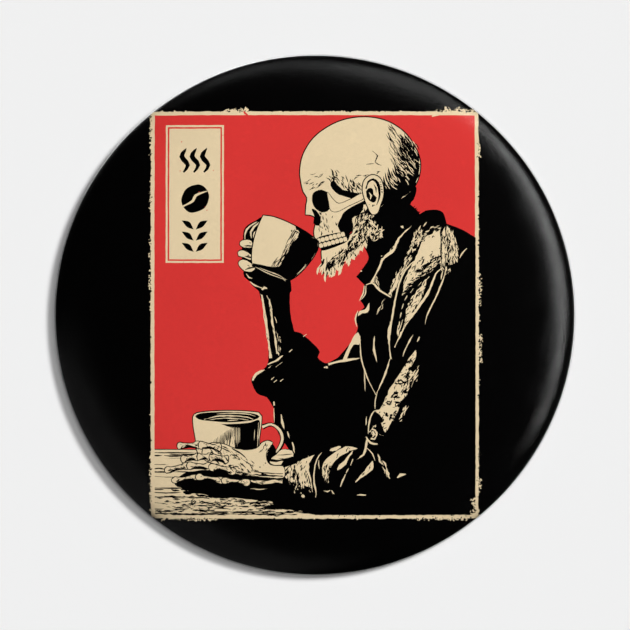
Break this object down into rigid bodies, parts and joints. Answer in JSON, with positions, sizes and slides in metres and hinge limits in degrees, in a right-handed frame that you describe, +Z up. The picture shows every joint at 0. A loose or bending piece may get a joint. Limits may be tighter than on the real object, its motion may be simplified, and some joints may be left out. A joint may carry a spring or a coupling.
{
  "type": "pinback button badge",
  "caption": "Round domed button badge: printed sheet under clear film over a steel shell, with a riveted bar pin and rotating safety catch on the back.",
  "frame": {"origin": "centre of the back rim, on the plane that the badge rests against", "axes": "+Y out of the back towards the garment, the domed face towards -Y, +Z up the artwork, +X to the right as the wearer's onlooker sees it"},
  "size_m": [0.058, 0.0069, 0.058],
  "materials": {
    "clear_film": "clear glossy polyester film",
    "printed_sheet": "paper printed in black, red and tan",
    "front_shell": "plain tinplate",
    "back_plate": "rolled tinplate, satin",
    "pin_bar": "nickel-plated pressed steel",
    "rivets": "nickel-plated, bright",
    "needle": "drawn steel wire, polished",
    "safety_catch": "nickel-plated pressed steel"
  },
  "bodies": {
    "badge": {"clear_film": "clear_film", "printed_sheet": "printed_sheet", "front_shell": "front_shell", "back_plate": "back_plate", "pin_bar": "pin_bar", "bar_rivets": "rivets", "hinge_rivet": "rivets"},
    "needle": {"needle": "needle"},
    "safety_catch": {"safety_catch": "safety_catch"}
  },
  "joints": [
    {"name": "needle_hinge", "type": "hinge", "parent": "badge", "child": "needle", "pos_m": [-0.012, -0.0022, 0.005], "axis": [0, 0, 1], "range_deg": [0, 110]},
    {"name": "catch_turn", "type": "hinge", "parent": "badge", "child": "safety_catch", "pos_m": [0.0105, -0.0022, 0.005], "axis": [1, 0, 0], "range_deg": [0, 120]}
  ]
}
